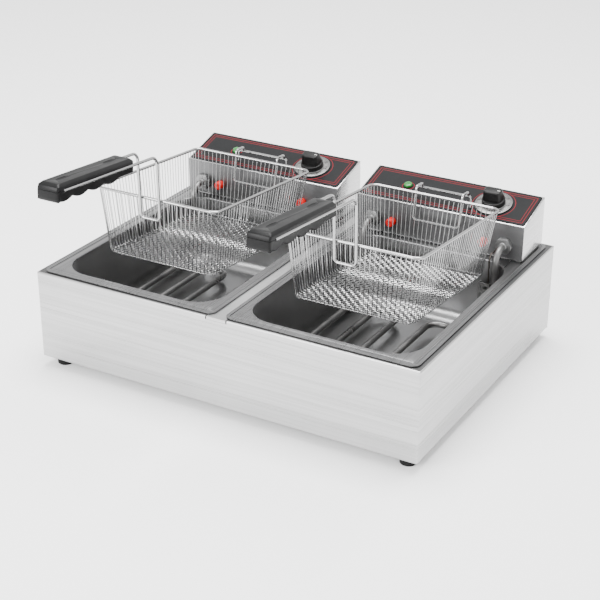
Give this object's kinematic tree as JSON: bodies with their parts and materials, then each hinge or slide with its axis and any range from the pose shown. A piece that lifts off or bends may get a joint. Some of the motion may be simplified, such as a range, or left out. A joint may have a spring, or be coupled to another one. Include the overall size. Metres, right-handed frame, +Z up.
{
  "type": "deep fryer",
  "caption": "Countertop electric deep fryer: low stainless casing, lift-out tanks side by side, sloped control heads at the rear and wire baskets hung by their hooks.",
  "frame": {"origin": "on the supporting surface, under the middle of the whole outline", "axes": "+X to the right seen from the front, +Y towards the control heads, +Z up; the front with the basket grips faces -Y"},
  "size_m": [0.56, 0.5468, 0.3259],
  "materials": {
    "casing_steel": "brushed stainless sheet",
    "tank_steel": "satin stainless sheet",
    "head_steel": "bright stainless sheet",
    "label_film": "satin printed film",
    "dial_silver": "satin with a printed scale",
    "black_plastic": "satin",
    "grip_plastic": "matt, heat resistant",
    "lens_green": "clear green",
    "element_steel": "dull tube",
    "wire_steel": "polished wire",
    "buffer_rubber": "soft, matt",
    "foot_rubber": "matt",
    "terminal_ceramic": "unglazed ceramic look",
    "probe_copper": "bright copper tube"
  },
  "bodies": {
    "casing": {"casing_body": "casing_steel", "casing_back": "casing_steel", "casing_base": "casing_steel", "centre_rail": "casing_steel", "foot_front_left": "foot_rubber", "foot_front_right": "foot_rubber", "foot_rear_left": "foot_rubber", "foot_rear_right": "foot_rubber"},
    "left_tank": {"left_tank": "tank_steel"},
    "left_head": {"left_head_shell": "head_steel", "left_head_base": "head_steel", "left_control_label": "label_film", "left_thermostat_body": "terminal_ceramic", "left_pilot_lens": "lens_green", "left_pilot_body": "black_plastic", "left_heating_element": "element_steel", "left_element_nut_1": "head_steel", "left_element_nut_2": "head_steel", "left_thermostat_probe": "probe_copper", "left_bulb_guard": "element_steel", "left_buffer_1": "buffer_rubber", "left_buffer_2": "buffer_rubber", "left_terminal_block": "terminal_ceramic", "left_cord_gland": "black_plastic"},
    "left_knob": {"left_knob": "black_plastic", "left_dial_skirt": "dial_silver", "left_thermostat_shaft": "element_steel"},
    "left_basket": {"left_basket_mesh": "wire_steel", "left_basket_rim": "wire_steel", "left_handle_frame": "wire_steel", "left_rear_hook": "wire_steel", "left_grip_upper": "grip_plastic", "left_grip_lower": "grip_plastic"},
    "right_tank": {"right_tank": "tank_steel"},
    "right_head": {"right_head_shell": "head_steel", "right_head_base": "head_steel", "right_control_label": "label_film", "right_thermostat_body": "terminal_ceramic", "right_pilot_lens": "lens_green", "right_pilot_body": "black_plastic", "right_heating_element": "element_steel", "right_element_nut_1": "head_steel", "right_element_nut_2": "head_steel", "right_thermostat_probe": "probe_copper", "right_bulb_guard": "element_steel", "right_buffer_1": "buffer_rubber", "right_buffer_2": "buffer_rubber", "right_terminal_block": "terminal_ceramic", "right_cord_gland": "black_plastic"},
    "right_knob": {"right_knob": "black_plastic", "right_dial_skirt": "dial_silver", "right_thermostat_shaft": "element_steel"},
    "right_basket": {"right_basket_mesh": "wire_steel", "right_basket_rim": "wire_steel", "right_handle_frame": "wire_steel", "right_rear_hook": "wire_steel", "right_grip_upper": "grip_plastic", "right_grip_lower": "grip_plastic"}
  },
  "joints": [
    {"name": "left_tank_lift", "type": "slide", "parent": "casing", "child": "left_tank", "axis": [0, 0, 1], "range_m": [0, 0.14]},
    {"name": "left_head_lift", "type": "slide", "parent": "left_tank", "child": "left_head", "axis": [0, 0, 1], "range_m": [0, 0.12]},
    {"name": "left_basket_lift", "type": "slide", "parent": "left_head", "child": "left_basket", "axis": [0, 0, 1], "range_m": [0, 0.15]},
    {"name": "left_knob_turn", "type": "hinge", "parent": "left_head", "child": "left_knob", "pos_m": [-0.0745, 0.22202, 0.20122], "axis": [0, 0.2711, -0.9626], "range_deg": [0, 280]},
    {"name": "right_tank_lift", "type": "slide", "parent": "casing", "child": "right_tank", "axis": [0, 0, 1], "range_m": [0, 0.14]},
    {"name": "right_head_lift", "type": "slide", "parent": "right_tank", "child": "right_head", "axis": [0, 0, 1], "range_m": [0, 0.12]},
    {"name": "right_basket_lift", "type": "slide", "parent": "right_head", "child": "right_basket", "axis": [0, 0, 1], "range_m": [0, 0.15]},
    {"name": "right_knob_turn", "type": "hinge", "parent": "right_head", "child": "right_knob", "pos_m": [0.2065, 0.22202, 0.20122], "axis": [0, 0.2711, -0.9626], "range_deg": [0, 280]}
  ]
}
